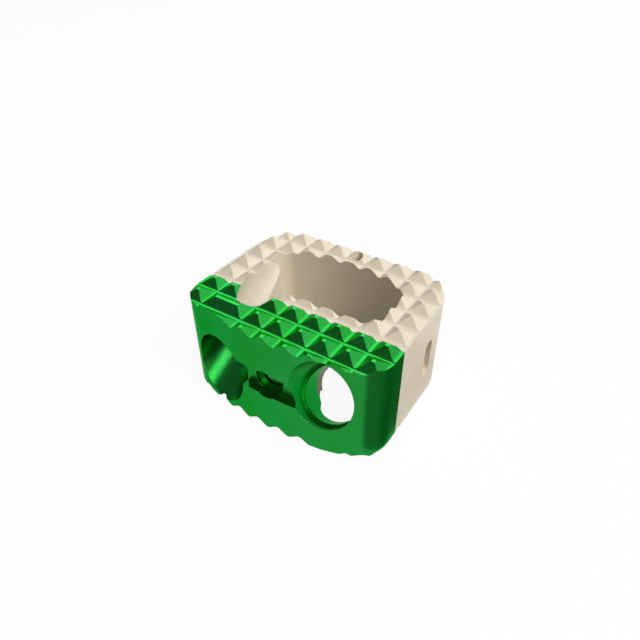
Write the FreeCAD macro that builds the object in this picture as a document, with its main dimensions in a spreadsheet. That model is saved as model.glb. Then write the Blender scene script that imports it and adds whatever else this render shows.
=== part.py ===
import FreeCAD, Part
import math
import os

import Sketcher

# Anterior cervical interbody cage: a polymer ring with a graft window, and a metal face plate that
# carries two angled screw bores. Both wear the same field of pyramid teeth, above and below.
# X runs across the patient, +Y from the front plate to the rear wall, +Z up.
# The origin is the middle of the footprint, on the tips of the lower teeth.
# Each body is drawn about the middle of its height, because the upper side, turned half a turn
# about the Y axis, is the lower side.

# Driving dimensions, in millimetres and degrees: alias, value, meaning
DIMENSIONS = [
    ("cage_width", 16.0, "footprint across the patient"),
    ("cage_depth", 13.0, "footprint from the plate's crown to the rear wall"),
    ("cage_height", 8.2, "from the lower tooth tips to the upper ones"),
    ("front_bow_radius", 28.0, "bow of the plate's front face"),
    ("front_corner_radius", 2.4, "plan corners of the plate"),
    ("rear_corner_radius", 3.4, "plan corners of the ring"),
    ("plate_depth", 4.15, "from the plate's crown to the seam"),
    ("tooth_pitch", 1.75, "from one groove to the next, both ways"),
    ("tooth_flat", 0.24, "flat left on each tip"),
    ("groove_nose_radius", 0.35, "rounded floor of the grooves"),
    ("row_groove_depth", 0.47, "depth of the grooves that run across"),
    ("column_groove_depth", 0.44, "depth of the grooves that run front to back"),
    ("first_row_setback", 1.08, "from the plate's crown to the first groove that runs across"),
    ("row_count", 8, "grooves that run across"),
    ("column_count", 10, "grooves that run front to back"),
    ("left_column_count", 2, "those to the left of the one that starts behind the front teeth"),
    ("window_width", 10.8, "graft window across"),
    ("window_front_wall", 0.95, "ring wall between the seam and the window"),
    ("window_rear_wall", 2.0, "ring wall behind the window, at its middle"),
    ("window_bow_radius", 12.8, "bow of the window's rear wall"),
    ("window_front_radius", 1.75, "front corners of the window"),
    ("window_rear_radius", 1.3, "rear corners of the window"),
    ("screw_land_spread", 4.34, "from the middle to the land beside each screw's way out"),
    ("screw_land_rear", 1.7, "rear end of those lands, behind the middle of the footprint"),
    ("screw_land_corner", 0.5, "rounding of those lands at their rear end"),
    ("screw_spread", 4.3, "from the middle to each screw axis, at the crown plane"),
    ("screw_drop", 1.15, "from mid-height to each screw axis, at the crown plane"),
    ("screw_rise_angle", 38.8, "slope of the screws, one up and one down"),
    ("screw_toe_in_angle", 10.0, "turn of the screws towards the middle"),
    ("screw_head_diameter", 4.55, "bore that takes the screw's head"),
    ("screw_shank_diameter", 4.1, "bore that takes the screw's shank"),
    ("screw_seat_depth", 3.66, "from the crown plane to the seat, along the screw"),
    ("slot_height", 1.9, "inserter slot between the screw bores"),
    ("slot_depth", 0.6, "inserter slot, from the crown plane"),
    ("recess_diameter", 2.3, "round recess in the middle of the slot"),
    ("recess_depth", 1.0, "round recess, from the crown plane"),
    ("thread_diameter", 1.7, "threaded inserter hole, at the thread's root"),
    ("thread_depth", 3.3, "threaded inserter hole, from the crown plane"),
    ("peg_diameter", 1.4, "pegs behind the plate that hold the ring"),
    ("peg_length", 2.2, "pegs behind the plate, past the seam"),
    ("peg_spread", 6.7, "from the middle to each peg"),
    ("peg_bore_end_gap", 0.1, "room left past the end of each peg"),
    ("side_slot_width", 1.05, "grip slots in the ring's sides, front to back"),
    ("side_slot_height", 3.1, "grip slots in the ring's sides, upright"),
    ("side_slot_depth", 1.2, "grip slots in the ring's sides"),
    ("side_slot_place", 1.94, "grip slots, behind the middle of the footprint"),
    ("marker_diameter", 0.8, "marker pin"),
    ("rear_marker_place", 5.7, "rear marker, behind the middle of the footprint"),
    ("rear_marker_recess", 1.1, "rear marker, from the tooth tips to each end of the pin"),
    ("cut_overshoot", 1.0, "how far cutters run past what they cut"),
]

doc = FreeCAD.newDocument("interbody_cage")
sheet = doc.addObject("Spreadsheet::Sheet", "Dimensions")
for line, (alias, value, meaning) in enumerate(DIMENSIONS, start=1):
    sheet.set("A%d" % line, meaning)
    sheet.set("B%d" % line, str(value))
    sheet.setAlias("B%d" % line, alias)
doc.recompute()


def size(expression):
    """An expression in which each #name is a cell of the sheet."""
    return expression.replace("#", "Dimensions.")


def value(expression):
    """What such an expression comes to, as a plain number."""
    result = sheet.evalExpression(size(expression))
    return float(getattr(result, "Value", result))


def drive(item, path, expression):
    item.setExpression(path, size(expression))


# Expressions that several features share
HALF_WIDTH = "#cage_width / 2"
HALF_DEPTH = "#cage_depth / 2"
HALF_HEIGHT = "#cage_height / 2"
SEAM = "(#plate_depth - #cage_depth / 2)"
FIRST_ROW = "(#first_row_setback - #cage_depth / 2)"
LAST_ROW = "(#first_row_setback - #cage_depth / 2 + (#row_count - 1) * #tooth_pitch)"
LAST_COLUMN = "((#column_count - 1) / 2 * #tooth_pitch)"
WINDOW_FRONT = "(" + SEAM + " + #window_front_wall)"
WINDOW_REAR = "(#cage_depth / 2 - #window_rear_wall)"
OUTSIDE = "(#cage_width + #cage_depth)"
THROUGH = "(#cage_height + 2 * #cut_overshoot)"


def axis_of(body, role):
    """The body's own origin plane or axis of that role."""
    for feature in body.Origin.OriginFeatures:
        if feature.Role == role:
            return feature
    raise LookupError(role)


def add_sketch(body, name, plane, lift="0"):
    """A sketch on one of the body's origin planes, lifted along the plane's normal."""
    sketch = body.newObject("Sketcher::SketchObject", name)
    sketch.AttachmentSupport = [(axis_of(body, plane), "")]
    sketch.MapMode = "FlatFace"
    drive(sketch, "AttachmentOffset.Base.z", lift)
    return sketch


def constrain(sketch, kind, *references):
    sketch.addConstraint(Sketcher.Constraint(kind, *references))


def dimension(sketch, expression, kind, *references):
    """A driving dimension of the sketch, bound to the sheet."""
    index = sketch.addConstraint(Sketcher.Constraint(kind, *references, value(expression)))
    drive(sketch, "Constraints[%d]" % index, expression)


def chain(sketch, geometry):
    """A closed chain of edges, in order."""
    edges = [sketch.addGeometry(edge, False) for edge in geometry]
    for edge, following in zip(edges, edges[1:] + edges[:1]):
        constrain(sketch, "Coincident", edge, 2, following, 1)
    return edges


# What a constraint calls a sketch's origin point
ORIGIN = (-1, 1)

# Two sides spread over a full turn stand half a turn apart
FULL_TURN = 360
SIDES = ("upper", "lower")


def vector(x, y):
    return FreeCAD.Vector(x, y, 0)


def bowed_outline(sketch, width, flat_side, bowed_side, bow_radius):
    """A rectangle about the upright axis, with one side bowed outwards."""
    half, radius = value(width) / 2, value(bow_radius)
    flat, crown = value(flat_side), value(bowed_side)
    outwards = 1 if crown > flat else -1
    centre = crown - outwards * radius
    corner = centre + outwards * math.sqrt(radius**2 - half**2)
    sweep = math.asin(half / radius)
    middle = outwards * math.pi / 2
    bow = Part.ArcOfCircle(Part.Circle(vector(0, centre), FreeCAD.Vector(0, 0, 1), radius),
                           middle - sweep, middle + sweep)
    start, end = vector(outwards * half, corner), vector(-outwards * half, corner)
    opposite_end, opposite_start = vector(end.x, flat), vector(start.x, flat)
    arc, side, base, other = chain(sketch, [bow, Part.LineSegment(end, opposite_end),
                                            Part.LineSegment(opposite_end, opposite_start),
                                            Part.LineSegment(opposite_start, start)])
    constrain(sketch, "Vertical", side)
    constrain(sketch, "Vertical", other)
    constrain(sketch, "Horizontal", base)
    dimension(sketch, "0", "DistanceX", *ORIGIN, arc, 3)
    dimension(sketch, bow_radius, "Radius", arc)
    right_end = 1 if outwards > 0 else 2
    dimension(sketch, width + " / 2", "DistanceX", arc, 3, arc, right_end)
    dimension(sketch, "%s - (%d) * %s" % (bowed_side, outwards, bow_radius), "DistanceY", *ORIGIN, arc, 3)
    dimension(sketch, flat_side, "DistanceY", *ORIGIN, base, 1)


def rectangle(sketch, left, right, low, high):
    x1, x2, y1, y2 = value(left), value(right), value(low), value(high)
    corners = [vector(x1, y1), vector(x2, y1), vector(x2, y2), vector(x1, y2)]
    bottom, side, top, other = chain(sketch, [Part.LineSegment(a, b)
                                              for a, b in zip(corners, corners[1:] + corners[:1])])
    for edge in (bottom, top):
        constrain(sketch, "Horizontal", edge)
    for edge in (side, other):
        constrain(sketch, "Vertical", edge)
    dimension(sketch, left, "DistanceX", *ORIGIN, bottom, 1)
    dimension(sketch, right, "DistanceX", *ORIGIN, bottom, 2)
    dimension(sketch, low, "DistanceY", *ORIGIN, bottom, 1)
    dimension(sketch, high, "DistanceY", *ORIGIN, top, 1)


def rectangle_with_round_corner(sketch, left, right, low, high, radius):
    """A rectangle whose corner at the right and high end is rounded."""
    x1, x2, y1, y2 = value(left), value(right), value(low), value(high)
    r = value(radius)
    corner = Part.ArcOfCircle(Part.Circle(vector(x2 - r, y2 - r), FreeCAD.Vector(0, 0, 1), r), 0, math.pi / 2)
    geometry = [Part.LineSegment(vector(x1, y1), vector(x2, y1)),
                Part.LineSegment(vector(x2, y1), vector(x2, y2 - r)), corner,
                Part.LineSegment(vector(x2 - r, y2), vector(x1, y2)),
                Part.LineSegment(vector(x1, y2), vector(x1, y1))]
    edges = [sketch.addGeometry(edge, False) for edge in geometry]
    bottom, side, rounding, top, other = edges
    for edge, following in zip(edges, edges[1:] + edges[:1]):
        constrain(sketch, "Tangent" if rounding in (edge, following) else "Coincident", edge, 2, following, 1)
    for edge in (bottom, top):
        constrain(sketch, "Horizontal", edge)
    for edge in (side, other):
        constrain(sketch, "Vertical", edge)
    dimension(sketch, left, "DistanceX", *ORIGIN, bottom, 1)
    dimension(sketch, right, "DistanceX", *ORIGIN, bottom, 2)
    dimension(sketch, low, "DistanceY", *ORIGIN, bottom, 1)
    dimension(sketch, high, "DistanceY", *ORIGIN, top, 1)
    dimension(sketch, radius, "Radius", rounding)


def circle(sketch, diameter, across="0", upright="0"):
    centre = vector(value(across), value(upright))
    edge = sketch.addGeometry(Part.Circle(centre, FreeCAD.Vector(0, 0, 1), value(diameter) / 2), False)
    dimension(sketch, diameter, "Diameter", edge)
    dimension(sketch, across, "DistanceX", *ORIGIN, edge, 3)
    dimension(sketch, upright, "DistanceY", *ORIGIN, edge, 3)


def upright_slot(sketch, width, height, across):
    """A slot with round ends, upright, about the sketch's horizontal axis."""
    x, radius = value(across), value(width) / 2
    reach = value(height) / 2 - radius
    axis = FreeCAD.Vector(0, 0, 1)
    top = Part.ArcOfCircle(Part.Circle(vector(x, reach), axis, radius), 0, math.pi)
    bottom = Part.ArcOfCircle(Part.Circle(vector(x, -reach), axis, radius), math.pi, 2 * math.pi)
    geometry = [top, Part.LineSegment(vector(x - radius, reach), vector(x - radius, -reach)),
                bottom, Part.LineSegment(vector(x + radius, -reach), vector(x + radius, reach))]
    edges = [sketch.addGeometry(edge, False) for edge in geometry]
    for edge, following in zip(edges, edges[1:] + edges[:1]):
        constrain(sketch, "Tangent", edge, 2, following, 1)
    constrain(sketch, "Vertical", edges[1])
    constrain(sketch, "Equal", edges[0], edges[2])
    dimension(sketch, width + " / 2", "Radius", edges[0])
    dimension(sketch, across, "DistanceX", *ORIGIN, edges[0], 3)
    for edge, sign in ((edges[0], ""), (edges[2], "-")):
        dimension(sketch, "%s(%s - %s) / 2" % (sign, height, width), "DistanceY", *ORIGIN, edge, 3)


def groove_profile(sketch, across, depth):
    """A vee with a rounded floor, cut down from the plane of the tooth tips."""
    centre, tips, nose = value(across), value(HALF_HEIGHT), value("#groove_nose_radius")
    half_mouth = value("(#tooth_pitch - #tooth_flat) / 2")
    floor = tips - value(depth)
    rise = value(depth) - nose
    flank = math.atan2(rise, half_mouth) + math.asin(nose / math.hypot(rise, half_mouth))
    over = tips + value("#cut_overshoot")
    run = half_mouth + value("#cut_overshoot") / math.tan(flank)
    touch = vector(nose * math.sin(flank), floor + nose * (1 - math.cos(flank)))
    left, right = vector(centre - touch.x, touch.y), vector(centre + touch.x, touch.y)
    far_left, far_right = vector(centre - run, over), vector(centre + run, over)
    nose_circle = Part.Circle(vector(centre, floor + nose), FreeCAD.Vector(0, 0, 1), nose)
    arc = Part.ArcOfCircle(nose_circle, 1.5 * math.pi - flank, 1.5 * math.pi + flank)
    down, round_floor, up, lid = [sketch.addGeometry(edge, False) for edge in (
        Part.LineSegment(far_left, left), arc, Part.LineSegment(right, far_right),
        Part.LineSegment(far_right, far_left))]
    mouth = sketch.addGeometry(Part.Point(vector(centre + half_mouth, tips)), True)
    constrain(sketch, "Tangent", down, 2, round_floor, 1)
    constrain(sketch, "Tangent", round_floor, 2, up, 1)
    constrain(sketch, "Coincident", up, 2, lid, 1)
    constrain(sketch, "Coincident", lid, 2, down, 1)
    constrain(sketch, "Horizontal", lid)
    constrain(sketch, "Equal", down, up)
    constrain(sketch, "PointOnObject", mouth, 1, up)
    dimension(sketch, "#groove_nose_radius", "Radius", round_floor)
    dimension(sketch, across, "DistanceX", *ORIGIN, round_floor, 3)
    dimension(sketch, HALF_HEIGHT + " - " + depth + " + #groove_nose_radius",
              "DistanceY", *ORIGIN, round_floor, 3)
    dimension(sketch, HALF_HEIGHT + " + #cut_overshoot", "DistanceY", *ORIGIN, lid, 1)
    dimension(sketch, "(#tooth_pitch - #tooth_flat) / 2", "DistanceX", round_floor, 3, mouth, 1)
    dimension(sketch, HALF_HEIGHT, "DistanceY", *ORIGIN, mouth, 1)


def add_pad(body, name, sketch, length, side="One side", reverse=False):
    pad = body.newObject("PartDesign::Pad", name)
    pad.Profile = sketch
    pad.SideType = side
    pad.Reversed = reverse
    drive(pad, "Length", length)
    doc.recompute()
    return pad


def add_pocket(body, name, sketch, length, side="One side", reverse=False):
    """A pocket that is checked to have taken something away."""
    before = body.Shape.Volume
    pocket = body.newObject("PartDesign::Pocket", name)
    pocket.Profile = sketch
    pocket.SideType = side
    pocket.Reversed = reverse
    drive(pocket, "Length", length)
    doc.recompute()
    if not body.Shape.Volume < before:
        raise ValueError(name + " cuts nothing")
    return pocket


def add_fillet(body, name, base, radius, places):
    """Round the upright edges of a prism that stand at the given places."""
    ends = {"Edge%d" % number: [vertex.Point for vertex in edge.Vertexes]
            for number, edge in enumerate(base.Shape.Edges, start=1)}
    wanted = [min(ends, key=lambda edge: max(math.hypot(end.x - x, end.y - y) for end in ends[edge]))
              for x, y in places]
    if len(set(wanted)) != len(places):
        raise ValueError(name + " found the same edge twice")
    fillet = body.newObject("PartDesign::Fillet", name)
    fillet.Base = (base, wanted)
    drive(fillet, "Radius", radius)
    doc.recompute()
    return fillet


def turn_over(pattern, body):
    pattern.Axis = (axis_of(body, "Y_Axis"), [""])
    pattern.Mode = "Extent"
    pattern.Angle = FULL_TURN
    pattern.Occurrences = len(SIDES)


def half_turn(body, name, originals):
    """Repeat features half a turn about the Y axis, on the other side of the cage."""
    turn = body.newObject("PartDesign::PolarPattern", name)
    turn.Originals = originals
    turn_over(turn, body)
    body.Tip = turn
    doc.recompute()


def row_and_half_turn(body, name, original, role, spacing, count, reverse=False):
    """Repeat a groove along an axis, and the whole row half a turn about the Y axis."""
    row = doc.addObject("PartDesign::LinearPattern", name + "_row")
    row.Direction = (axis_of(body, role), [""])
    row.Reversed = reverse
    row.Mode = "Spacing"
    drive(row, "Offset", spacing)
    drive(row, "Occurrences", count)
    turn = doc.addObject("PartDesign::PolarPattern", name + "_turn")
    turn_over(turn, body)
    both = body.newObject("PartDesign::MultiTransform", name)
    both.Originals = [original]
    both.Transformations = [row, turn]
    body.Tip = both
    doc.recompute()


def corner_places(width, bow_radius, crown, flat):
    """Plan corners of a bowed outline: the two beside the bow, then the two at the flat side."""
    half, radius = value(width) / 2, value(bow_radius)
    outwards = 1 if value(crown) > value(flat) else -1
    beside_bow = value(crown) - outwards * (radius - math.sqrt(radius**2 - half**2))
    return ([(-half, beside_bow), (half, beside_bow)], [(-half, value(flat)), (half, value(flat))])


def new_body(name):
    """A body whose own origin is at mid-height, over the middle of the footprint."""
    body = doc.addObject("PartDesign::Body", name)
    body.Label = name
    drive(body, "Placement.Base.z", HALF_HEIGHT)
    return body


def footprint_blank(body):
    """The full footprint, at full height, with its plan corners rounded."""
    sketch = add_sketch(body, body.Name + "_footprint", "XY_Plane")
    bowed_outline(sketch, "#cage_width", HALF_DEPTH, "-" + HALF_DEPTH, "#front_bow_radius")
    pad = add_pad(body, body.Name + "_blank", sketch, "#cage_height", side="Symmetric")
    front, rear = corner_places("#cage_width", "#front_bow_radius", "-" + HALF_DEPTH, HALF_DEPTH)
    rounded = add_fillet(body, body.Name + "_front_corners", pad, "#front_corner_radius", front)
    add_fillet(body, body.Name + "_rear_corners", rounded, "#rear_corner_radius", rear)


def cut_at_seam(body, keep_front):
    """Cut the footprint across at the seam and keep one side of it."""
    sketch = add_sketch(body, body.Name + "_seam_cut", "XY_Plane")
    low, high = (SEAM, OUTSIDE) if keep_front else ("-" + OUTSIDE, SEAM)
    rectangle(sketch, "-" + OUTSIDE, OUTSIDE, low, high)
    add_pocket(body, body.Name + "_seam", sketch, THROUGH, side="Symmetric")


def screw_sketch(body, name, diameter):
    """A circle in the plane of the screw's seat, which faces out along the screw."""
    sketch = body.newObject("Sketcher::SketchObject", name)
    sketch.AttachmentSupport = [(axis_of(body, "XZ_Plane"), "")]
    sketch.MapMode = "FlatFace"
    along, rise, turn = "#screw_seat_depth", "#screw_rise_angle * 1 deg", "#screw_toe_in_angle * 1 deg"
    drive(sketch, "AttachmentOffset.Base.x",
          "-#screw_spread + %s * cos(%s) * sin(%s)" % (along, rise, turn))
    drive(sketch, "AttachmentOffset.Base.y", "-#screw_drop + %s * sin(%s)" % (along, rise))
    drive(sketch, "AttachmentOffset.Base.z",
          HALF_DEPTH + " - %s * cos(%s) * cos(%s)" % (along, rise, turn))
    drive(sketch, "AttachmentOffset.Rotation",
          "create(<<rotation>>; 0 deg; -#screw_toe_in_angle * 1 deg; #screw_rise_angle * 1 deg)")
    circle(sketch, diameter)
    return sketch


def screw_bores(body, with_head):
    """The rising bore on the left, and the falling one on the right by a half turn."""
    shank = screw_sketch(body, body.Name + "_shank_circle", "#screw_shank_diameter")
    cuts = [add_pocket(body, body.Name + "_shank_bore", shank, OUTSIDE)]
    if with_head:
        head = screw_sketch(body, body.Name + "_head_circle", "#screw_head_diameter")
        cuts.append(add_pocket(body, body.Name + "_head_bore", head, OUTSIDE, reverse=True))
    half_turn(body, body.Name + "_screw_bores", cuts)


def cut_teeth(body, from_rear):
    """Grooves both ways, above and below, which leave rows of pyramids.
    One groove near each rising bore starts only behind the front teeth, and leaves a long ridge."""
    rows = add_sketch(body, body.Name + "_row_groove", "YZ_Plane")
    groove_profile(rows, LAST_ROW if from_rear else FIRST_ROW, "#row_groove_depth")
    first = add_pocket(body, body.Name + "_first_row", rows, OUTSIDE, side="Symmetric")
    row_and_half_turn(body, body.Name + "_rows", first, "Y_Axis", "#tooth_pitch", "#row_count",
                      reverse=from_rear)

    columns = add_sketch(body, body.Name + "_column_groove", "XZ_Plane")
    groove_profile(columns, LAST_COLUMN, "#column_groove_depth")
    last = add_pocket(body, body.Name + "_last_column", columns, OUTSIDE, side="Symmetric")
    row_and_half_turn(body, body.Name + "_columns", last, "X_Axis", "#tooth_pitch",
                      "#column_count - #left_column_count - 1", reverse=True)

    outer = add_sketch(body, body.Name + "_outer_groove", "XZ_Plane")
    groove_profile(outer, "-" + LAST_COLUMN, "#column_groove_depth")
    outermost = add_pocket(body, body.Name + "_outer_column", outer, OUTSIDE, side="Symmetric")
    row_and_half_turn(body, body.Name + "_outer_columns", outermost, "X_Axis", "#tooth_pitch",
                      "#left_column_count")

    second_row = "-(%s + #tooth_pitch)" % FIRST_ROW
    short = add_sketch(body, body.Name + "_short_groove", "XZ_Plane", second_row)
    groove_profile(short, "#left_column_count * #tooth_pitch - " + LAST_COLUMN, "#column_groove_depth")
    cut = add_pocket(body, body.Name + "_short_column", short, OUTSIDE)
    half_turn(body, body.Name + "_short_columns", [cut])


def face_plate():
    """Metal plate: screw bores, inserter slot and thread, and pegs that hold the ring."""
    body = new_body("face_plate")
    footprint_blank(body)
    cut_at_seam(body, keep_front=True)

    slot = add_sketch(body, "inserter_slot_outline", "XZ_Plane", HALF_DEPTH)
    rectangle(slot, "-#screw_spread", "#screw_spread", "-#slot_height / 2", "#slot_height / 2")
    add_pocket(body, "inserter_slot", slot, "#slot_depth")
    for name, diameter, depth in (("recess", "#recess_diameter", "#recess_depth"),
                                  ("thread", "#thread_diameter", "#thread_depth")):
        opening = add_sketch(body, "inserter_%s_circle" % name, "XZ_Plane", HALF_DEPTH)
        circle(opening, diameter)
        add_pocket(body, "inserter_" + name, opening, depth)

    pegs = add_sketch(body, "peg_circles", "XZ_Plane", "-" + SEAM)
    for side in ("-", ""):
        circle(pegs, "#peg_diameter", side + "#peg_spread")
    add_pad(body, "pegs", pegs, "#peg_length", reverse=True)

    screw_bores(body, with_head=True)
    cut_teeth(body, from_rear=False)
    return body


def graft_ring():
    """Polymer ring: graft window, peg bores, grip slots, marker bore and the screws' way out."""
    body = new_body("graft_ring")
    footprint_blank(body)
    cut_at_seam(body, keep_front=False)

    outline = add_sketch(body, "window_outline", "XY_Plane")
    bowed_outline(outline, "#window_width", WINDOW_FRONT, WINDOW_REAR, "#window_bow_radius")
    window = add_pocket(body, "window", outline, THROUGH, side="Symmetric")
    rear, front = corner_places("#window_width", "#window_bow_radius", WINDOW_REAR, WINDOW_FRONT)
    rounded = add_fillet(body, "window_front_corners", window, "#window_front_radius", front)
    add_fillet(body, "window_rear_corners", rounded, "#window_rear_radius", rear)

    land = add_sketch(body, "screw_land_outline", "XY_Plane")
    middle_of_side, middle_of_front = "-(#cage_width + #window_width) / 4", "(%s + %s) / 2" % (SEAM, WINDOW_FRONT)
    rectangle_with_round_corner(land, middle_of_side, "-#screw_land_spread", middle_of_front,
                                "#screw_land_rear", "#screw_land_corner")
    half_turn(body, "screw_lands", [add_pad(body, "screw_land", land, HALF_HEIGHT)])

    pegs = add_sketch(body, "peg_bore_circles", "XZ_Plane", "-" + SEAM)
    for side in ("-", ""):
        circle(pegs, "#peg_diameter", side + "#peg_spread")
    add_pocket(body, "peg_bores", pegs, "#peg_length + #peg_bore_end_gap")

    rear_marker = add_sketch(body, "rear_marker_circle", "XY_Plane")
    circle(rear_marker, "#marker_diameter", "0", "#rear_marker_place")
    add_pocket(body, "rear_marker_bore", rear_marker, THROUGH, side="Symmetric")

    grip = add_sketch(body, "grip_slot_outline", "YZ_Plane", HALF_WIDTH)
    upright_slot(grip, "#side_slot_width", "#side_slot_height", "#side_slot_place")
    grip_slot = add_pocket(body, "grip_slot", grip, "#side_slot_depth")
    half_turn(body, "grip_slots", [grip_slot])

    screw_bores(body, with_head=False)
    cut_teeth(body, from_rear=True)
    return body


def marker_pin(name, across, along, base, length):
    """A plain radiopaque pin, upright in its bore."""
    pin = doc.addObject("Part::Cylinder", name)
    pin.Label = name
    drive(pin, "Radius", "#marker_diameter / 2")
    drive(pin, "Height", length)
    drive(pin, "Placement.Base.x", across)
    drive(pin, "Placement.Base.y", along)
    drive(pin, "Placement.Base.z", base)
    return pin


pieces = [
    face_plate(),
    graft_ring(),
    marker_pin("rear_marker_pin", "0", "#rear_marker_place",
               "#rear_marker_recess", "#cage_height - 2 * #rear_marker_recess"),
]
doc.recompute()

for item in doc.Objects:
    if "Invalid" in item.State or "Error" in item.State:
        raise RuntimeError(item.Name + " did not build")
for piece in pieces:
    if piece.Shape.isNull() or not piece.Shape.isValid() or len(piece.Shape.Solids) != 1:
        raise RuntimeError(piece.Label + " is not one valid solid")

os.makedirs("parts", exist_ok=True)
for piece in pieces:
    piece.Shape.exportStep(os.path.join("parts", piece.Label + ".step"))
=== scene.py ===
import math

import bmesh
import bpy
from bpy.props import FloatProperty, FloatVectorProperty, IntProperty, PointerProperty
from mathutils import Matrix, Vector


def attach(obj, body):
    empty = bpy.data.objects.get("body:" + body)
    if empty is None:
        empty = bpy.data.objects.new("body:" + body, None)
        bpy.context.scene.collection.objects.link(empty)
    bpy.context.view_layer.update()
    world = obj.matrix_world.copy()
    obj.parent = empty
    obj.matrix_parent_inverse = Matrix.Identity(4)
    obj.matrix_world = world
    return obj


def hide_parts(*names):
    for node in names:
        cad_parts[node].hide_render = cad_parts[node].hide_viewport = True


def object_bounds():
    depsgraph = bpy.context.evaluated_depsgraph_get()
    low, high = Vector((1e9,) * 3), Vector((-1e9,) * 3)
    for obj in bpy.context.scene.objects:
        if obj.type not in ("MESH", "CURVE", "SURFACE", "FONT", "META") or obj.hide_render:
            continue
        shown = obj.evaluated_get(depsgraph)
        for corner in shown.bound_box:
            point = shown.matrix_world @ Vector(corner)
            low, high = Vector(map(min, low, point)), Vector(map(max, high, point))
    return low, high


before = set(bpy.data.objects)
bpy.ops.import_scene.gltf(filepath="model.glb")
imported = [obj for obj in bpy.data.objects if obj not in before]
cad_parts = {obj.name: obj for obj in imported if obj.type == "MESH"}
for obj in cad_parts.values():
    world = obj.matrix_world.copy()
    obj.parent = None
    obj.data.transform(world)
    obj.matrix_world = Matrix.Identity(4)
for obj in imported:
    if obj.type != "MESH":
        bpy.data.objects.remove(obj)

bl_info = {
    "name": "Cervical interbody cage",
    "version": (1, 0, 0),
    "blender": (4, 5, 0),
    "location": "3D View > Sidebar > Cage",
    "description": "Builds a toothed polymer cage with an anodised face plate, on a pale studio floor",
    "category": "Object",
}

CAD_LOW, CAD_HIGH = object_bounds()
MM = 0.001
ROOT = "root"
HALF_TURN = math.pi
QUARTER_TURN = math.pi / 2
Y, Z = Vector((0, 1, 0)), Vector((0, 0, 1))

# Steps along a rounded corner and a bowed end, around a bore, around the thin rod of a groove cutter,
# and around the section of the thread's ridge
CORNER_STEPS = 28
BOW_STEPS = 56
BORE_STEPS = 112
NOSE_STEPS = 64
RIDGE_STEPS = 4

# Edges that turn by more than this are shaded sharp
SHARP_BESIDE_TEETH = math.radians(24)
SHARP_ON_THREAD = math.radians(30)


def length(name, description, millimetres):
    return FloatProperty(name=name, description=description, default=millimetres * MM,
                         min=0, unit="LENGTH", precision=5)


def angle(name, description, degrees):
    return FloatProperty(name=name, description=description, default=math.radians(degrees),
                         subtype="ANGLE")


def number(name, description, value):
    return FloatProperty(name=name, description=description, default=value)


def colour(name, description, value):
    return FloatVectorProperty(name=name, description=description, default=value, subtype="COLOR",
                               min=0, max=1)


class CageSizes(bpy.types.PropertyGroup):
    """The cage's outline, its window and the seam between plate and ring"""
    width: FloatProperty(name="Width", description="Footprint across the patient", unit="LENGTH",
                         default=CAD_HIGH.x - CAD_LOW.x)
    depth: FloatProperty(name="Depth", description="Footprint from front to rear", unit="LENGTH",
                         default=CAD_HIGH.y - CAD_LOW.y)
    height: FloatProperty(name="Height", description="From tooth tips to tooth tips", unit="LENGTH",
                          default=CAD_HIGH.z - CAD_LOW.z)
    front_bow: length("Front bow", "Radius of the plate's bowed front", 28)
    front_corner: length("Front corners", "Plan radius of the plate's corners", 2.4)
    rear_corner: length("Rear corners", "Plan radius of the ring's corners", 3.4)
    plate_depth: length("Plate depth", "From the plate's crown to the seam", 4.15)
    window_width: length("Window width", "Graft window across", 10.8)
    window_front_wall: length("Front wall", "Ring wall between the seam and the window", 0.95)
    window_rear_wall: length("Rear wall", "Ring wall behind the window, at its middle", 2.0)
    window_bow: length("Window bow", "Radius of the window's rear wall", 12.8)
    window_front_corner: length("Window front corners", "Radius of the window's front corners", 1.75)
    window_rear_corner: length("Window rear corners", "Radius of the window's rear corners", 1.3)
    land_spread: length("Land spread", "From the middle to the land beside each screw's way out", 4.34)
    land_rear: length("Land rear", "Rear end of those lands, behind the middle of the footprint", 1.7)
    land_corner: length("Land corner", "Rounding of those lands at their rear end", 0.5)
    edge_round: length("Edge round", "Rounding of every edge, in the shading alone", 0.035)


class ToothSizes(bpy.types.PropertyGroup):
    """The field of pyramid teeth"""
    pitch: length("Pitch", "From one groove to the next, both ways", 1.75)
    tip_flat: length("Tip flat", "Flat left on each tip", 0.24)
    nose: length("Groove nose", "Radius of the grooves' floor", 0.35)
    row_depth: length("Row depth", "Depth of the grooves that run across", 0.47)
    column_depth: length("Column depth", "Depth of the grooves that run front to back", 0.44)
    first_row: length("First row", "From the plate's crown to the first groove that runs across", 1.08)
    rows: IntProperty(name="Rows", description="Grooves that run across", default=8, min=1)
    columns: IntProperty(name="Columns", description="Grooves that run front to back", default=10, min=1)
    short_column: IntProperty(name="Short column", default=3, min=1,
                              description="The groove that starts behind the front teeth, from the left")
    overshoot: length("Overshoot", "How far a cutter runs past what it cuts", 1.0)


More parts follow.
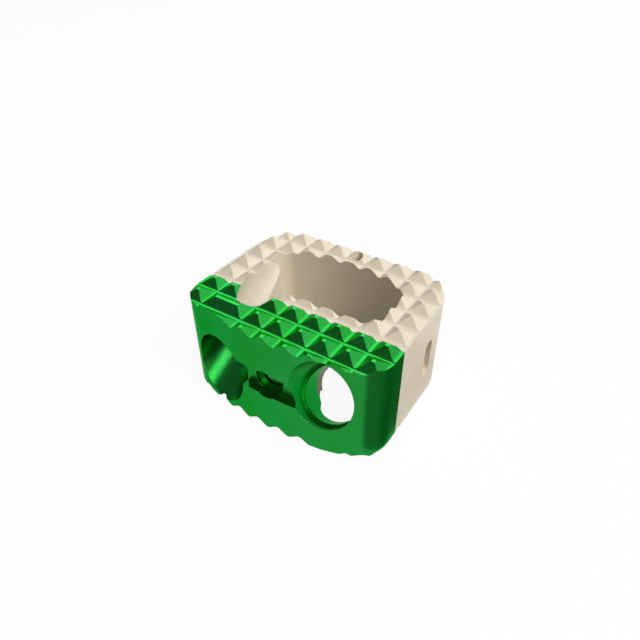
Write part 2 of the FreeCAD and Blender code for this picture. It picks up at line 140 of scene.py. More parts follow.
class BoreSizes(bpy.types.PropertyGroup):
    """Screw bores, inserter slot and thread, marker bore and grip slots"""
    spread: length("Spread", "From the middle to each screw axis, at the crown plane", 4.3)
    drop: length("Drop", "From mid-height to each screw axis, at the crown plane", 1.15)
    rise: angle("Rise", "Slope of the screws, one up and one down", 38.8)
    toe_in: angle("Toe-in", "Turn of the screws towards the middle", 10)
    head: length("Head bore", "Diameter of the bore for the screw's head", 4.55)
    shank: length("Shank bore", "Diameter of the bore for the screw's shank", 4.1)
    seat: length("Seat depth", "From the crown plane to the seat, along the screw", 3.66)
    slot_height: length("Slot height", "Inserter slot between the screw bores", 1.9)
    slot_depth: length("Slot depth", "Inserter slot, from the crown plane", 0.6)
    recess: length("Recess", "Diameter of the round recess in the slot", 2.3)
    recess_depth: length("Recess depth", "Round recess, from the crown plane", 1.0)
    thread: length("Thread root", "Diameter of the threaded hole at the thread's root", 1.7)
    thread_depth: length("Thread depth", "Threaded hole, from the crown plane", 3.3)
    thread_pitch: length("Thread pitch", "From one ridge of the thread to the next", 0.36)
    thread_height: length("Thread height", "How far the thread's ridges stand out", 0.15)
    marker: length("Marker", "Diameter of the marker pin's bore", 0.8)
    rear_marker: length("Rear marker", "Behind the middle of the footprint", 5.7)
    grip_width: length("Grip width", "Grip slots in the ring's sides, front to back", 1.05)
    grip_height: length("Grip height", "Grip slots in the ring's sides, upright", 3.1)
    grip_depth: length("Grip depth", "Grip slots in the ring's sides", 1.2)
    grip_place: length("Grip place", "Grip slots, behind the middle of the footprint", 1.94)


class Finishes(bpy.types.PropertyGroup):
    """Colours of the cage and the studio"""
    polymer: colour("Polymer", "Milled polymer of the ring", (0.77, 0.68, 0.535))
    polymer_deep: colour("Polymer, deep", "Darker clouding of the polymer", (0.735, 0.64, 0.49))
    plate: colour("Plate", "Anodised colour of the face plate", (0.020, 0.31, 0.035))
    plate_tint: colour("Plate tint", "Where the anodised layer is thicker", (0.022, 0.34, 0.065))
    # Painted highlight: a brighter green laid along the plate's edges, standing in for the light they catch
    plate_edge_highlight: colour("Plate edges", "Edges of the plate, where the layer is thin", (0.10, 0.52, 0.18))
    marker: colour("Marker", "Dull metal of the marker pin", (0.30, 0.30, 0.31))
    floor: colour("Floor", "Studio floor", (0.40, 0.40, 0.40))


class StudioSizes(bpy.types.PropertyGroup):
    """Camera, lamps, cards and world"""
    azimuth: angle("Azimuth", "Camera, from straight in front towards the right", 33.2)
    elevation: angle("Elevation", "Camera, above the floor", 37.31)
    distance: length("Distance", "Camera to the point it looks at", 36.363)
    target: FloatVectorProperty(name="Target", description="Point the camera looks at", size=3,
                                subtype="XYZ", unit="LENGTH",
                                default=(1.855 * MM, -2.50 * MM, 7.79 * MM))
    lens: number("Lens", "Focal length in millimetres", 30.882)
    lamp_distance: length("Lamp distance", "From the cage to each lamp", 400)
    key: number("Key light", "Radiance of the key light", 12.9)
    rear_fill: number("Rear fill", "Radiance of the fill light behind", 3.5)
    groove_card: number("Groove card", "Radiance of the card that groove floors mirror", 2.4)
    facet_card: number("Facet card", "Radiance of the card that right facets mirror", 1.2)
    bore_card: number("Bore card", "Radiance of the card that the left bore mirrors", 3.0)
    zenith: number("Zenith", "Strength of the world overhead", 0.19)
    horizon: number("Horizon", "Strength of the world at eye level", 0.22)


# Plan outlines

def rectangle(half_width, half_height):
    return [(-half_width, -half_height), (half_width, -half_height), (half_width, half_height),
            (-half_width, half_height)]


def arc(centre, radius, start, end, steps):
    """Points of an arc, both ends included."""
    return [(centre[0] + radius * math.cos(start + (end - start) * step / steps),
             centre[1] + radius * math.sin(start + (end - start) * step / steps))
            for step in range(steps + 1)]


def bowed_end(half_width, crown, bow, corner, outwards):
    """The bowed end of an outline, from its right side to its left, with both corners rounded."""
    centre_y = crown - outwards * bow
    across = half_width - corner
    corner_y = centre_y + outwards * math.sqrt((bow - corner)**2 - across**2)
    lean = math.atan2(across, abs(corner_y - centre_y))
    upright = outwards * QUARTER_TURN
    right = arc((across, corner_y), corner, 0, upright - outwards * lean, CORNER_STEPS)
    middle = arc((0, centre_y), bow, upright - outwards * lean, upright + outwards * lean, BOW_STEPS)
    left = arc((-across, corner_y), corner, upright + outwards * lean, outwards * HALF_TURN, CORNER_STEPS)
    return right + middle[1:-1] + left


def flat_end(half_width, edge, corner, outwards):
    """The flat end of an outline, from its left side to its right."""
    if not corner:
        return [(-half_width, edge), (half_width, edge)]
    across, along = half_width - corner, edge - outwards * corner
    upright = outwards * QUARTER_TURN
    return (arc((-across, along), corner, outwards * HALF_TURN, upright, CORNER_STEPS)
            + arc((across, along), corner, upright, 0, CORNER_STEPS))


def seam(cage):
    return cage.plate_depth - cage.depth / 2


def plate_outline(cage):
    half = cage.width / 2
    return (bowed_end(half, -cage.depth / 2, cage.front_bow, cage.front_corner, -1)
            + flat_end(half, seam(cage), 0, 1))


def ring_outline(cage):
    half = cage.width / 2
    return [(half, seam(cage)), (-half, seam(cage))] + flat_end(half, cage.depth / 2, cage.rear_corner, 1)


def window_outline(cage):
    half = cage.window_width / 2
    front = seam(cage) + cage.window_front_wall
    rear = cage.depth / 2 - cage.window_rear_wall
    return (bowed_end(half, rear, cage.window_bow, cage.window_rear_corner, 1)
            + flat_end(half, front, cage.window_front_corner, -1))


def land_outline(cage):
    """The left land, which stands in the window and runs into the walls around it."""
    left = -(cage.width + cage.window_width) / 4
    front, face = seam(cage) + cage.window_front_wall / 2, -cage.land_spread
    centre = (face - cage.land_corner, cage.land_rear - cage.land_corner)
    return [(left, front), (face, front), *arc(centre, cage.land_corner, 0, QUARTER_TURN, CORNER_STEPS),
            (left, cage.land_rear)]


# Blanks and cutters, all drawn about the cage's mid-height

def new_piece(name, content):
    """A new object for a mesh, a lamp or a camera, linked to the scene."""
    piece = bpy.data.objects.new(name, content)
    bpy.context.scene.collection.objects.link(piece)
    return piece


def from_bmesh(name, shape):
    bmesh.ops.recalc_face_normals(shape, faces=shape.faces)
    mesh = bpy.data.meshes.new(name)
    shape.to_mesh(mesh)
    shape.free()
    return new_piece(name, mesh)


def prism(name, outline, low, high, lay=Matrix.Identity(4)):
    """A closed prism over a plan outline. lay turns it into another plane."""
    shape = bmesh.new()
    base = shape.faces.new([shape.verts.new((x, y, low)) for x, y in outline])
    raised = bmesh.ops.extrude_face_region(shape, geom=[base])
    top = [item for item in raised["geom"] if isinstance(item, bmesh.types.BMVert)]
    bmesh.ops.translate(shape, vec=(0, 0, high - low), verts=top)
    bmesh.ops.transform(shape, matrix=lay, verts=shape.verts)
    return from_bmesh(name, shape)


def rod(name, diameter, start, end):
    """A closed cylinder between two points."""
    shape = bmesh.new()
    along = end - start
    lay = Matrix.Translation((start + end) / 2) @ Z.rotation_difference(along).to_matrix().to_4x4()
    bmesh.ops.create_cone(shape, cap_ends=True, segments=BORE_STEPS, radius1=diameter / 2,
                          radius2=diameter / 2, depth=along.length, matrix=lay)
    return from_bmesh(name, shape)


def turned_over(piece):
    """A copy half a turn about the Y axis, which is the same place on the cage's other side."""
    copy = new_piece(piece.name + "_over", piece.data.copy())
    copy.data.transform(Matrix.Rotation(HALF_TURN, 4, "Y"))
    return copy


def screw_axis(cage, bores):
    """The rising screw's point at the crown plane, and its direction."""
    entry = Vector((-bores.spread, -cage.depth / 2, -bores.drop))
    level = math.cos(bores.rise)
    return entry, Vector((level * math.sin(bores.toe_in), level * math.cos(bores.toe_in),
                          math.sin(bores.rise)))


def screw_cutters(cage, bores, with_head):
    """The shank bores, and the head bores in front of their seats, one rising and one falling."""
    entry, along = screw_axis(cage, bores)
    seat, far = entry + along * bores.seat, cage.width * along
    cutters = [rod("shank", bores.shank, seat - along * bores.seat / 2, seat + far)]
    if with_head:
        cutters.append(rod("head", bores.head, seat - far, seat))
    return cutters + [turned_over(cutter) for cutter in cutters]


def slot_cutter(cage, bores):
    lay = Matrix.Rotation(QUARTER_TURN, 4, "X")
    crown = cage.depth / 2
    return prism("slot", rectangle(bores.spread, bores.slot_height / 2), crown - bores.slot_depth,
                 2 * crown, lay)


def bore_from_front(name, cage, diameter, depth):
    crown = -cage.depth / 2
    return rod(name, diameter, Y * 2 * crown, Y * (crown + depth))


def grip_cutter(cage, bores):
    radius = bores.grip_width / 2
    reach = bores.grip_height / 2 - radius
    outline = (arc((reach, 0), radius, -QUARTER_TURN, QUARTER_TURN, CORNER_STEPS)
               + arc((-reach, 0), radius, QUARTER_TURN, 3 * QUARTER_TURN, CORNER_STEPS))
    lay = Matrix.Translation(Y * bores.grip_place) @ Matrix.Rotation(-QUARTER_TURN, 4, "Y")
    side = cage.width / 2
    return prism("grip", outline, -2 * side, bores.grip_depth - side, lay)


def marker_cutter(cage, bores):
    rear, over = Y * bores.rear_marker, Z * cage.height
    return rod("rear_marker", bores.marker, rear - over, rear + over)


def cut_away(piece, cutters):
    for cutter in cutters:
        cut = piece.modifiers.new(cutter.name, "BOOLEAN")
        cut.object = cutter
        cut.operation = "DIFFERENCE"
        cut.solver = "MANIFOLD"


def settle(piece, name, sharp_above, spent=()):
    """The piece with its modifiers applied, as a plain mesh object with a new name.
    Edges that turn by more than sharp_above are shaded sharp."""
    evaluated = piece.evaluated_get(bpy.context.evaluated_depsgraph_get())
    mesh = bpy.data.meshes.new_from_object(evaluated)
    mesh.name = name
    mesh.shade_smooth()
    mesh.set_sharp_from_angle(angle=sharp_above)
    settled = new_piece(name, mesh)
    for used in (piece, *spent):
        bpy.data.objects.remove(used)
    return settled


def window_cutter(cage):
    """The window, less the lands that stand in it: one above on the left, one below on the right."""
    window = prism("window_blank", window_outline(cage), -cage.height, cage.height)
    land = prism("land", land_outline(cage), 0, 2 * cage.height)
    lands = [land, turned_over(land)]
    cut_away(window, lands)
    return settle(window, "window", sharp_above=0, spent=lands)


# The field of teeth, as a tree of geometry nodes

def feed_node(tree, node, feeds):
    """Give inputs of a node their values, or link them to sockets. A list is several links."""
    for name, feed in feeds.items():
        for source in feed if isinstance(feed, list) else [feed]:
            if isinstance(source, bpy.types.NodeSocket):
                tree.links.new(source, node.inputs[name])
            else:
                node.inputs[name].default_value = source


def wire(tree, kind, feeds, output=0, **settings):
    """Add a node, set it, feed its inputs, and return one of its outputs."""
    node = tree.nodes.new(kind)
    for setting, choice in settings.items():
        setattr(node, setting, choice)
    feed_node(tree, node, feeds)
    return node.outputs[output]


def new_tree(name, numbers, counts=()):
    """A tree of geometry nodes with named inputs, and the outputs of its input node."""
    tree = bpy.data.node_groups.new(name, "GeometryNodeTree")
    kinds = {"Geometry": "NodeSocketGeometry", **dict.fromkeys(numbers, "NodeSocketFloat"),
             **dict.fromkeys(counts, "NodeSocketInt"), "Material": "NodeSocketMaterial"}
    for item, kind in kinds.items():
        tree.interface.new_socket(item, in_out="INPUT", socket_type=kind)
    tree.interface.new_socket("Geometry", in_out="OUTPUT", socket_type="NodeSocketGeometry")
    return tree, tree.nodes.new("NodeGroupInput").outputs


def finish_tree(tree, geometry, sizes):
    """Raise the geometry from mid-height to the cage's place, and give it its material."""
    mid_height = calculate(tree, "DIVIDE", sizes["Height"], 2)
    raised = wire(tree, "GeometryNodeTransform",
                  {"Geometry": geometry, "Translation": place(tree, z=mid_height)})
    realized = wire(tree, "GeometryNodeRealizeInstances", {"Geometry": raised})
    finished = wire(tree, "GeometryNodeSetMaterial", {"Geometry": realized, "Material": sizes["Material"]})
    feed_node(tree, tree.nodes.new("NodeGroupOutput"), {"Geometry": finished})


def calculate(tree, operation, first, second=0.0):
    return wire(tree, "ShaderNodeMath", {0: first, 1: second}, operation=operation)


def place(tree, x=0.0, y=0.0, z=0.0):
    return wire(tree, "ShaderNodeCombineXYZ", {"X": x, "Y": y, "Z": z})


def groove_cutter(tree, sizes, depth):
    """A vee with a rounded nose that lies along Y: the hull of a thin rod and a strip above it."""
    nose, over = sizes["Nose"], sizes["Overshoot"]
    tips = calculate(tree, "DIVIDE", sizes["Height"], 2)
    mouth = calculate(tree, "SUBTRACT", sizes["Pitch"], sizes["Tip Flat"])
    half_mouth = calculate(tree, "DIVIDE", mouth, 2)
    rise = calculate(tree, "SUBTRACT", depth, nose)
    reach = calculate(tree, "SQRT", calculate(tree, "ADD", calculate(tree, "POWER", rise, 2),
                                              calculate(tree, "POWER", half_mouth, 2)))
    flank = calculate(tree, "ADD", calculate(tree, "ARCTAN2", rise, half_mouth),
                      calculate(tree, "ARCSINE", calculate(tree, "DIVIDE", nose, reach)))
    run = calculate(tree, "ADD", half_mouth,
                    calculate(tree, "DIVIDE", over, calculate(tree, "TANGENT", flank)))
    thin_rod = wire(tree, "GeometryNodeMeshCylinder",
                    {"Vertices": NOSE_STEPS, "Radius": nose, "Depth": sizes["Length"]})
    laid_rod = wire(tree, "GeometryNodeTransform",
                    {"Geometry": thin_rod, "Rotation": (QUARTER_TURN, 0, 0),
                     "Translation": place(tree, z=calculate(tree, "SUBTRACT", tips, rise))})
    strip = wire(tree, "GeometryNodeMeshGrid",
                 {"Size X": calculate(tree, "MULTIPLY", run, 2), "Size Y": sizes["Length"],
                  "Vertices X": 2, "Vertices Y": 2})
    strip_height = calculate(tree, "ADD", tips, over)
    raised_strip = wire(tree, "GeometryNodeTransform",
                        {"Geometry": strip, "Translation": place(tree, z=strip_height)})
    both = wire(tree, "GeometryNodeJoinGeometry", {"Geometry": [laid_rod, raised_strip]})
    return wire(tree, "GeometryNodeConvexHull", {"Geometry": both})


def tooth_field_tree():
    """Grooves both ways, above and below, cut from a blank. They leave rows of pyramids."""
    tree, sizes = new_tree("Tooth field",
                           ["Height", "Pitch", "Tip Flat", "Nose", "Row Depth", "Column Depth", "Length",
                            "Overshoot", "First Row"],
                           ["Rows", "Columns", "Short Column"])

    pitch = sizes["Pitch"]
    row_cutter = wire(tree, "GeometryNodeTransform",
                      {"Geometry": groove_cutter(tree, sizes, sizes["Row Depth"]),
                       "Rotation": (0, 0, QUARTER_TURN)})
    row_points = wire(tree, "GeometryNodeMeshLine",
                      {"Count": sizes["Rows"], "Start Location": place(tree, y=sizes["First Row"]),
                       "Offset": place(tree, y=pitch)})
    rows = wire(tree, "GeometryNodeInstanceOnPoints", {"Points": row_points, "Instance": row_cutter})

    column_cutter = groove_cutter(tree, sizes, sizes["Column Depth"])
    span = calculate(tree, "MULTIPLY", calculate(tree, "SUBTRACT", sizes["Columns"], 1), pitch)
    leftmost = calculate(tree, "DIVIDE", span, -2)
    column_points = wire(tree, "GeometryNodeMeshLine",
                         {"Count": sizes["Columns"], "Start Location": place(tree, x=leftmost),
                          "Offset": place(tree, x=pitch)})
    short_index = calculate(tree, "SUBTRACT", sizes["Short Column"], 1)
    full_length = wire(tree, "FunctionNodeCompare", {"A": wire(tree, "GeometryNodeInputIndex", {}),
                                                     "B": short_index},
                       data_type="INT", operation="NOT_EQUAL")
    columns = wire(tree, "GeometryNodeInstanceOnPoints",
                   {"Points": column_points, "Instance": column_cutter, "Selection": full_length})
    short_x = calculate(tree, "ADD", leftmost, calculate(tree, "MULTIPLY", short_index, pitch))
    short_y = calculate(tree, "ADD", calculate(tree, "ADD", sizes["First Row"], pitch),
                        calculate(tree, "DIVIDE", sizes["Length"], 2))
    short_point = wire(tree, "GeometryNodeMeshLine",
                       {"Count": 1, "Start Location": place(tree, short_x, short_y)})
    short = wire(tree, "GeometryNodeInstanceOnPoints", {"Points": short_point, "Instance": column_cutter})

    upper = wire(tree, "GeometryNodeJoinGeometry", {"Geometry": [rows, columns, short]})
    lower = wire(tree, "GeometryNodeTransform", {"Geometry": upper, "Rotation": (0, HALF_TURN, 0)})
    toothed = wire(tree, "GeometryNodeMeshBoolean", {"Mesh 1": sizes["Geometry"], "Mesh 2": [upper, lower]},
                   operation="DIFFERENCE", solver="MANIFOLD")
    finish_tree(tree, toothed, sizes)
    return tree


def thread_tree():
    """A helical ridge that stands out from the wall of a hole."""
    tree, sizes = new_tree("Thread ridge",
                           ["Root Radius", "Ridge Height", "Pitch", "Length", "Start", "Height"])
    root = sizes["Root Radius"]
    turns = calculate(tree, "DIVIDE", sizes["Length"], sizes["Pitch"])
    line = wire(tree, "GeometryNodeCurveSpiral",
                {"Resolution": BORE_STEPS, "Rotations": turns, "Start Radius": root, "End Radius": root,
                 "Height": sizes["Length"]})
    steady = wire(tree, "GeometryNodeSetCurveNormal", {"Curve": line}, mode="Z_UP")
    profile = wire(tree, "GeometryNodeCurvePrimitiveCircle",
                   {"Resolution": RIDGE_STEPS, "Radius": sizes["Ridge Height"]})
    swept = wire(tree, "GeometryNodeCurveToMesh",
                 {"Curve": steady, "Profile Curve": profile, "Fill Caps": True})
    laid = wire(tree, "GeometryNodeTransform",
                {"Geometry": swept, "Rotation": (-QUARTER_TURN, 0, 0),
                 "Translation": place(tree, y=sizes["Start"])})
    finish_tree(tree, laid, sizes)
    return tree


def run_tree(piece, tree, values):
    """Hang a tree on a piece, with its named inputs set."""
    modifier = piece.modifiers.new(tree.name, "NODES")
    modifier.node_group = tree
    for item in tree.interface.items_tree:
        if item.in_out == "INPUT" and item.name in values:
            modifier[item.identifier] = values[item.name]


def mill(name, blank, cutters, material):
    """Cut a blank with its cutters, and then its teeth."""
    settings = bpy.context.scene
    cage, teeth = settings.cage_sizes, settings.tooth_sizes
    cut_away(blank, cutters)
    run_tree(blank, tooth_field_tree(), {
        "Height": cage.height, "Pitch": teeth.pitch, "Tip Flat": teeth.tip_flat, "Nose": teeth.nose,
        "Row Depth": teeth.row_depth, "Column Depth": teeth.column_depth,
        "Length": cage.width + cage.depth, "Overshoot": teeth.overshoot,
        "First Row": teeth.first_row - cage.depth / 2,
        "Rows": teeth.rows, "Columns": teeth.columns, "Short Column": teeth.short_column,
        "Material": material})
    return settle(blank, name, SHARP_BESIDE_TEETH, cutters)


# Finishes

WHITE = (1, 1, 1, 1)
BEVEL_SAMPLES = 6

# Most of a noise texture's values lie between these
NOISE_LOW, NOISE_HIGH = 0.3, 0.7

# Sockets of the mix node when it mixes colours
MIX_FACTOR, MIX_FIRST, MIX_SECOND, MIX_RESULT = 0, 6, 7, 2

# The polymer's edges are this much paler than its faces, a painted highlight: a gain and a lift
HIGHLIGHT_GAIN, HIGHLIGHT_LIFT = 1.12, 0.03


def new_finish(name):
    material = bpy.data.materials.new(name)
    material.use_nodes = True
    return material, material.node_tree, material.node_tree.nodes["Principled BSDF"]


def object_noise(tree, scale, detail, roughness=0.5, stretch=(1, 1, 1)):
    """Noise in millimetres of the object."""
    where = wire(tree, "ShaderNodeTexCoord", {}, output="Object")
    mapped = wire(tree, "ShaderNodeMapping", {"Vector": where, "Scale": tuple(s / MM for s in stretch)})
    return wire(tree, "ShaderNodeTexNoise", {"Vector": mapped, "Scale": scale, "Detail": detail,
                                             "Roughness": roughness})


def spread(tree, noise, low, high):
    """Noise stretched to run from one value to another."""
    return wire(tree, "ShaderNodeMapRange", {"Value": noise, "From Min": NOISE_LOW, "From Max": NOISE_HIGH,
                                             "To Min": low, "To Max": high})


def opaque(tone):
    """A colour with its alpha, or a socket as it is."""
    return tone if isinstance(tone, bpy.types.NodeSocket) else (*tone, 1)


def dimmed(tone, share):
    return tuple(part * share for part in tone)


def mix_colours(tree, factor, first, second):
    feeds = {MIX_FACTOR: factor, MIX_FIRST: opaque(first), MIX_SECOND: opaque(second)}
    return wire(tree, "ShaderNodeMix", feeds, output=MIX_RESULT, data_type="RGBA")


def clouded(tree, noise, tone, cloud):
    """A colour that drifts with noise towards another."""
    return mix_colours(tree, spread(tree, noise, 0, 1), tone, cloud)


def rounded_normal(tree, radius):
    """The surface's normal, with its edges rounded."""
    return wire(tree, "ShaderNodeBevel", {"Radius": radius}, samples=BEVEL_SAMPLES)


def edge_mask(tree, radius, sharpness):
    """1 on an edge and 0 on a face: how far the rounded normal leans from the true one. It places the painted
    edge highlights.
    """
    true = wire(tree, "ShaderNodeNewGeometry", {}, output="Normal")
    agreement = wire(tree, "ShaderNodeVectorMath", {0: rounded_normal(tree, radius), 1: true},
                     output="Value", operation="DOT_PRODUCT")
    return wire(tree, "ShaderNodeMapRange", {"Value": agreement, "From Min": 1.0, "From Max": 1 - sharpness,
                                             "To Min": 0.0, "To Max": 1.0})


def milled_normal(tree, relief, share, depth, edge_round):
    """Fine marks of the cutter, over rounded edges."""
    return wire(tree, "ShaderNodeBump", {"Height": relief, "Strength": share, "Distance": depth,
                                         "Normal": rounded_normal(tree, edge_round)})


def milled_polymer(colours, edge_round):
    """Beige polymer with faint clouding, a fine milled grain, and edges paled by a painted highlight."""
    material, tree, shader = new_finish("milled_polymer")
    body = clouded(tree, object_noise(tree, scale=0.55, detail=3), colours.polymer, colours.polymer_deep)
    # Painted highlight: a paler copy of the polymer colour for the edges
    pale = tuple(min(1, part * HIGHLIGHT_GAIN + HIGHLIGHT_LIFT) for part in colours.polymer)
    grain = object_noise(tree, scale=14, detail=2, stretch=(1, 0.25, 1))
    speckle = object_noise(tree, scale=5, detail=4, roughness=0.6)
    feed_node(tree, shader, {
        "Base Color": mix_colours(tree, edge_mask(tree, edge_round, sharpness=0.5), body, pale),
        "IOR": 1.6,
        "Subsurface Weight": 0.12,
        "Subsurface Radius": (1, 0.7, 0.45),
        "Subsurface Scale": 0.35 * MM,
        "Roughness": spread(tree, speckle, 0.36, 0.5),
        "Normal": milled_normal(tree, grain, 0.25, 0.008 * MM, edge_round)})
    return material


def anodised_titanium(colours, edge_round):
    """Green anodised metal: a thin layer whose tint drifts, milling lines, and a painted highlight along
    every edge.
    """
    material, tree, shader = new_finish("anodised_titanium")
    body = clouded(tree, object_noise(tree, scale=0.35, detail=2), colours.plate, colours.plate_tint)
    lines = object_noise(tree, scale=18, detail=2, stretch=(0.12, 1, 1))
    haze = object_noise(tree, scale=3, detail=3)
    feed_node(tree, shader, {
        # Painted highlight: every edge takes the brighter edge green
        "Base Color": mix_colours(tree, edge_mask(tree, edge_round, sharpness=0.45), body,
                                  colours.plate_edge_highlight),
        "Metallic": 1.0,
        "Specular Tint": (0.4, 0.9, 0.45, 1),
        "Roughness": spread(tree, haze, 0.26, 0.34),
        "Normal": milled_normal(tree, lines, 0.3, 0.006 * MM, edge_round)})
    return material


def dull_metal(colours, edge_round):
    """The marker pin's metal, with darker and rougher clouds."""
    material, tree, shader = new_finish("dull_marker_metal")
    clouds = object_noise(tree, scale=4, detail=3)
    feed_node(tree, shader, {
        "Base Color": clouded(tree, clouds, colours.marker, dimmed(colours.marker, 0.7)),
        "Metallic": 1.0,
        "Roughness": spread(tree, clouds, 0.4, 0.55),
        "Normal": rounded_normal(tree, edge_round)})
    return material


# Operators, one for each piece

class CAGE_OT_graft_ring(bpy.types.Operator):
    """Build the toothed polymer ring around the graft window"""
    bl_idname = "cage.graft_ring"
    bl_label = "Graft ring"

    def execute(self, context):
        cage, bores = context.scene.cage_sizes, context.scene.bore_sizes
        half = cage.height / 2
        grip = grip_cutter(cage, bores)
        cutters = [window_cutter(cage), grip, turned_over(grip),
                   *screw_cutters(cage, bores, with_head=False), marker_cutter(cage, bores)]
        blank = prism("ring_blank", ring_outline(cage), -half, half)
        finish = milled_polymer(context.scene.cage_finishes, cage.edge_round)
        ring = mill("toothed_ring", blank, cutters, finish)
        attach(ring, ROOT)
        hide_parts("graft_ring")
        return {"FINISHED"}


class CAGE_OT_face_plate(bpy.types.Operator):
    """Build the anodised face plate with its screw bores and inserter slot"""
    bl_idname = "cage.face_plate"
    bl_label = "Face plate"

    def execute(self, context):
        cage, bores = context.scene.cage_sizes, context.scene.bore_sizes
        half = cage.height / 2
        cutters = [slot_cutter(cage, bores),
                   bore_from_front("recess", cage, bores.recess, bores.recess_depth),
                   bore_from_front("thread_hole", cage, bores.thread, bores.thread_depth),
                   *screw_cutters(cage, bores, with_head=True)]
        blank = prism("plate_blank", plate_outline(cage), -half, half)
        finish = anodised_titanium(context.scene.cage_finishes, cage.edge_round)
        plate = mill("anodised_plate", blank, cutters, finish)
        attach(plate, ROOT)
        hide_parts("face_plate")
        return {"FINISHED"}


class CAGE_OT_inserter_thread(bpy.types.Operator):
    """Run the thread's ridge along the inserter hole"""
    bl_idname = "cage.inserter_thread"
    bl_label = "Inserter thread"

    def execute(self, context):
        cage, bores = context.scene.cage_sizes, context.scene.bore_sizes
        seed = new_piece("thread_seed", bpy.data.meshes.new("thread_seed"))
        run_tree(seed, thread_tree(), {
            "Root Radius": bores.thread / 2, "Ridge Height": bores.thread_height, "Pitch": bores.thread_pitch,
            "Length": bores.thread_depth - bores.recess_depth - bores.thread_pitch,
            "Start": bores.recess_depth - cage.depth / 2 + bores.thread_pitch / 2, "Height": cage.height,
            "Material": bpy.data.materials["anodised_titanium"]})
        thread = settle(seed, "inserter_thread", SHARP_ON_THREAD)
        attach(thread, ROOT)
        return {"FINISHED"}


class CAGE_OT_marker_pin(bpy.types.Operator):
    """Give the marker pin its dull metal"""
    bl_idname = "cage.marker_pin"
    bl_label = "Marker pin"

    def execute(self, context):
        finish = dull_metal(context.scene.cage_finishes, context.scene.cage_sizes.edge_round)
        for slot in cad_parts["rear_marker_pin"].material_slots:
            slot.material = finish
        return {"FINISHED"}


# Studio

# Each lamp's name, the studio value with its radiance, its direction from the cage, the angles that it
# fills there in degrees, across and upright, and whether it lights the polymer or is only mirrored
LAMPS = (
    ("key_lamp", "key", (0.68, -0.12, 0.73), 27, 27, True),
    ("rear_fill", "rear_fill", (-0.2, 0.97, 0.14), 40, 14, True),
    ("groove_card", "groove_card", (-0.47, 0.65, 0.6), 52, 38, False),
    ("facet_card", "facet_card", (0.28, 0.64, 0.72), 36, 40, False),
    ("bore_card", "bore_card", (0.65, -0.6, 0.46), 28, 28, False),
)

# The floor reaches this far each way, in metres, and is this thick
FLOOR_REACH, FLOOR_THICKNESS = 1, 2 * MM

# White light that the floor adds to its own, and its share for rays that see it and that mirror it
FLOOR_GLOW, GLOW_SEEN, GLOW_MIRRORED = 1.1, 0.85, 0.6

# Corners of the dark card on the floor, in millimetres, its lift and thickness, and its faint glow
DARK_CARD = ((7.9, -6.1), (55, -51), (60, -51), (60, 8), (8.3, 8), (8.3, -4))
CARD_LIFT = 0.1 * MM
CARD_GLOW = 0.12

# The height of a view direction at which the sky has reached its strength overhead
HIGH_SKY = 0.7


def studio_lamp(name, radiance, direction, distance, angle_across, angle_upright, lights_all):
    """A rectangular lamp that faces the cage and fills the given angles as seen from there."""
    across, upright = (2 * distance * math.tan(math.radians(spread) / 2)
                       for spread in (angle_across, angle_upright))
    lamp = bpy.data.lights.new(name, "AREA")
    lamp.shape = "RECTANGLE"
    lamp.size, lamp.size_y = across, upright
    lamp.energy = radiance * math.pi * across * upright
    lit = new_piece(name, lamp)
    away = Vector(direction).normalized()
    lit.location = (CAD_LOW + CAD_HIGH) / 2 + away * distance
    lit.rotation_euler = away.to_track_quat("Z", "Y").to_euler()
    lit.visible_diffuse = lights_all


def dark_card():
    """A dark card on the floor beside the plate's right corner, there only for the metal to mirror."""
    outline = [(x * MM, y * MM) for x, y in DARK_CARD]
    card = prism("dark_card", outline, CAD_LOW.z + CARD_LIFT, CAD_LOW.z + 2 * CARD_LIFT)
    finish, tree, shader = new_finish("black_card")
    feed_node(tree, shader, {"Base Color": (0.01, 0.01, 0.01, 1), "Emission Color": WHITE,
                             "Emission Strength": CARD_GLOW})
    card.data.materials.append(finish)
    for ray in ("camera", "diffuse", "transmission", "shadow"):
        setattr(card, "visible_" + ray, False)


def glow_share(tree):
    """The share of white glow for rays that see the floor, and for rays that mirror it."""
    path = tree.nodes.new("ShaderNodeLightPath").outputs
    direct = calculate(tree, "MAXIMUM", path["Is Camera Ray"], path["Is Transmission Ray"])
    return calculate(tree, "MAXIMUM", calculate(tree, "MULTIPLY", direct, GLOW_SEEN),
                     calculate(tree, "MULTIPLY", path["Is Glossy Ray"], GLOW_MIRRORED))


def pale_floor(tone):
    """A matt floor with faint clouds, which glows white towards the camera."""
    material, tree, shader = new_finish("pale_floor")
    clouds = object_noise(tree, scale=0.01, detail=2)
    feed_node(tree, shader, {"Base Color": clouded(tree, clouds, tone, dimmed(tone, 0.985)),
                             "Roughness": 0.9, "Specular IOR Level": 0.1})
    glow = wire(tree, "ShaderNodeEmission", {"Color": WHITE, "Strength": FLOOR_GLOW})
    both = wire(tree, "ShaderNodeMixShader", {0: glow_share(tree), 1: shader.outputs[0], 2: glow})
    feed_node(tree, tree.nodes["Material Output"], {"Surface": both})
    return material


def light_world(tree, horizon, zenith):
    """A soft sky that falls off from the horizon to the zenith, behind a white backdrop."""
    where = wire(tree, "ShaderNodeTexCoord", {}, output="Generated")
    height = wire(tree, "ShaderNodeSeparateXYZ", {"Vector": where}, output="Z")
    sky = wire(tree, "ShaderNodeMapRange", {"Value": height, "From Max": HIGH_SKY, "To Min": horizon,
                                            "To Max": zenith})
    seen = wire(tree, "ShaderNodeLightPath", {}, output="Is Camera Ray")
    feed_node(tree, tree.nodes["Background"],
              {"Color": WHITE, "Strength": calculate(tree, "MAXIMUM", sky, seen)})


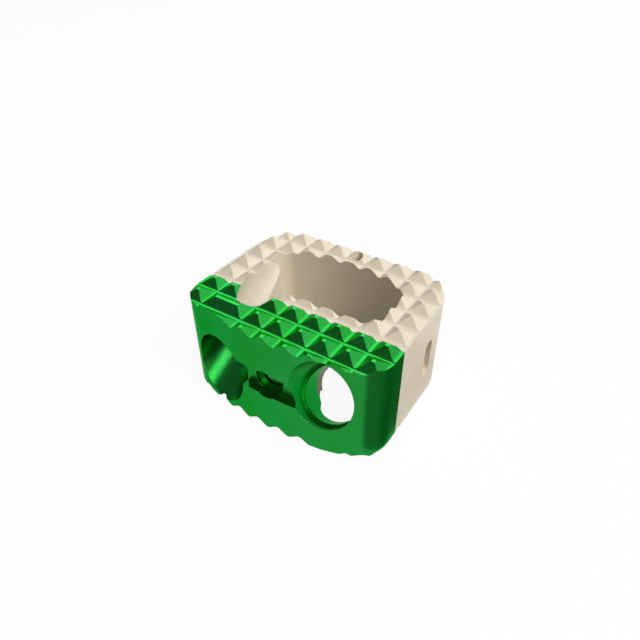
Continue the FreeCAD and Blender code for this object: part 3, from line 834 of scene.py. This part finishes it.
def set_camera(scene, studio):
    """Aim the camera at its target from its azimuth, elevation and distance."""
    camera = bpy.data.cameras.new("camera")
    camera.sensor_fit = "HORIZONTAL"
    camera.lens = studio.lens
    camera.clip_start = MM
    camera.clip_end = 10 * FLOOR_REACH
    eye = new_piece("camera", camera)
    level = math.cos(studio.elevation)
    back = Vector((math.sin(studio.azimuth) * level, -math.cos(studio.azimuth) * level,
                   math.sin(studio.elevation)))
    eye.location = Vector(studio.target) + back * studio.distance
    eye.rotation_euler = back.to_track_quat("Z", "Y").to_euler()
    scene.camera = eye


class CAGE_OT_studio(bpy.types.Operator):
    """Set the floor, the lamps, the world and the camera"""
    bl_idname = "cage.studio"
    bl_label = "Studio"

    def execute(self, context):
        scene = context.scene
        studio = scene.studio_sizes
        floor = prism("studio_floor", rectangle(FLOOR_REACH, FLOOR_REACH), CAD_LOW.z - FLOOR_THICKNESS,
                      CAD_LOW.z)
        floor.data.materials.append(pale_floor(scene.cage_finishes.floor))
        for name, radiance, direction, *rest in LAMPS:
            studio_lamp(name, getattr(studio, radiance), direction, studio.lamp_distance, *rest)
        dark_card()
        scene.world = bpy.data.worlds.new("studio")
        scene.world.use_nodes = True
        light_world(scene.world.node_tree, studio.horizon, studio.zenith)
        set_camera(scene, studio)
        scene.view_settings.view_transform = "Standard"
        return {"FINISHED"}


# Sidebar and start

class CAGE_PT_sidebar(bpy.types.Panel):
    """Sizes, colours and operators of the cage"""
    bl_idname = "CAGE_PT_sidebar"
    bl_label = "Interbody cage"
    bl_space_type = "VIEW_3D"
    bl_region_type = "UI"
    bl_category = "Cage"

    def draw(self, context):
        for operator in OPERATORS:
            self.layout.operator(operator.bl_idname)
        for attribute, group in GROUPS.items():
            box = self.layout.box()
            box.label(text=group.__doc__)
            for name in group.__annotations__:
                box.prop(getattr(context.scene, attribute), name)


GROUPS = {
    "cage_sizes": CageSizes,
    "tooth_sizes": ToothSizes,
    "bore_sizes": BoreSizes,
    "cage_finishes": Finishes,
    "studio_sizes": StudioSizes,
}
OPERATORS = (CAGE_OT_graft_ring, CAGE_OT_face_plate, CAGE_OT_inserter_thread, CAGE_OT_marker_pin,
             CAGE_OT_studio)


def register():
    for item in (*GROUPS.values(), *OPERATORS, CAGE_PT_sidebar):
        bpy.utils.register_class(item)
    for attribute, group in GROUPS.items():
        setattr(bpy.types.Scene, attribute, PointerProperty(type=group))


def unregister():
    for attribute in GROUPS:
        delattr(bpy.types.Scene, attribute)
    for item in reversed((*GROUPS.values(), *OPERATORS, CAGE_PT_sidebar)):
        bpy.utils.unregister_class(item)


def main():
    register()
    bpy.ops.cage.graft_ring()
    bpy.ops.cage.face_plate()
    bpy.ops.cage.inserter_thread()
    bpy.ops.cage.marker_pin()
    bpy.ops.cage.studio()


if __name__ == "__main__":
    main()
